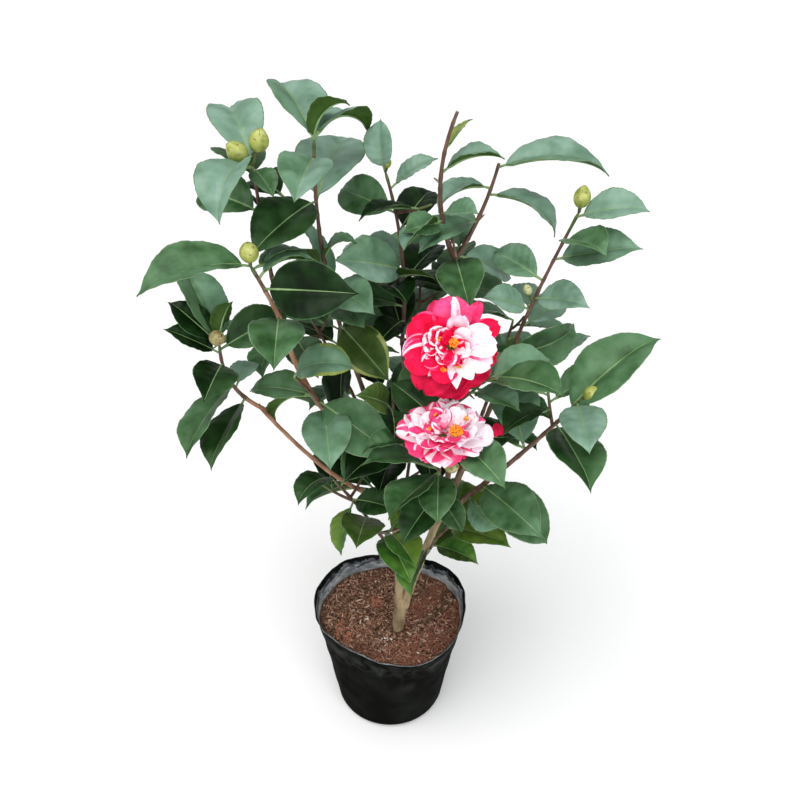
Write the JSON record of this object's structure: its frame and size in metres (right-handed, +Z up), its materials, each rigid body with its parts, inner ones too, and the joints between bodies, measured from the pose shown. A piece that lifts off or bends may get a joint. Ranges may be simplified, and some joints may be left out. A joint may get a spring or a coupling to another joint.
{
  "type": "potted camellia shrub",
  "caption": "Young evergreen shrub in a round soft nursery pot: forked stems, upswept boughs, glossy oval leaves, plump buds and two double striped blooms.",
  "frame": {"origin": "centre of the pot's flat underside, on the surface it stands on", "axes": "+Z up; -Y towards the fuller side with both blooms; +X to the right as seen from -Y"},
  "size_m": [0.3887, 0.3394, 0.6491],
  "materials": {
    "pot_plastic": "soft black polythene, semi-matte, with dusty grey smears",
    "potting_mix": "reddish-brown fibrous potting mix with pale chips",
    "bark": "thin greenish tan bark, reddish brown on young shoots",
    "leaf": "leathery, glossy dark green with pale midribs",
    "petal": "soft crimson, striped and edged with white"
  },
  "bodies": {
    "root": {"pot": "pot_plastic", "soil": "potting_mix", "trunk": "bark", "stem_left": "bark", "stem_right": "bark", "low_left_bough": "bark", "left_bough": "bark", "left_upper_bough": "bark", "upper_left_bough": "bark", "middle_bough": "bark", "upper_right_bough": "bark", "right_bough": "bark", "low_right_bough": "bark", "far_left_foliage": "leaf", "left_foliage": "leaf", "top_left_foliage": "leaf", "upper_left_foliage": "leaf", "middle_foliage": "leaf", "upper_right_foliage": "leaf", "right_back_foliage": "leaf", "right_foliage": "leaf", "low_right_foliage": "leaf", "centre_left_foliage": "leaf", "low_left_foliage": "leaf", "low_front_foliage": "leaf", "upper_bloom_foliage": "petal", "lower_bloom_foliage": "petal", "inner_front_foliage": "leaf", "inner_back_foliage": "leaf", "back_left_foliage": "leaf", "back_right_foliage": "leaf", "back_low_foliage": "leaf"}
  },
  "joints": []
}
